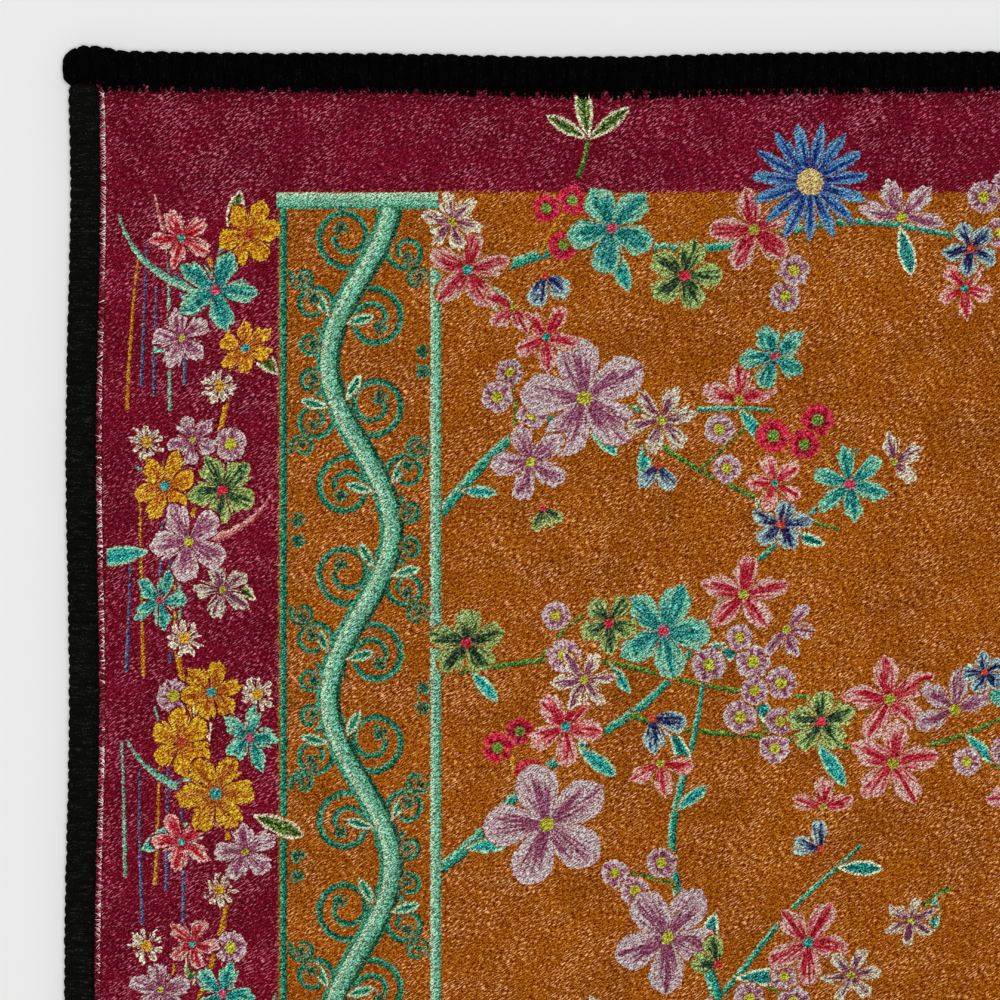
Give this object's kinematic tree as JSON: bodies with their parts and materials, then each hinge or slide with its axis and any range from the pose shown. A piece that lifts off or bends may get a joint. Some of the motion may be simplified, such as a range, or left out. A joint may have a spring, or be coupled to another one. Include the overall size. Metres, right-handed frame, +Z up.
{
  "type": "floral pile rug",
  "caption": "Flat rectangular printed pile rug with a flower pattern and a thick overlocked yarn edging, lying on a floor.",
  "frame": {"origin": "on the floor under the middle of the rug", "axes": "+Z up through the pile, +Y along the rug's length"},
  "size_m": [0.61, 0.9148, 0.0073],
  "materials": {
    "pile_cloth": "short polyester pile, printed crimson and gold",
    "edging_yarn": "matt black overlocked yarn"
  },
  "bodies": {
    "root": {"rug_body": "pile_cloth", "edging_top": "edging_yarn", "edging_bottom": "edging_yarn", "edging_left": "edging_yarn", "edging_right": "edging_yarn"}
  },
  "joints": []
}
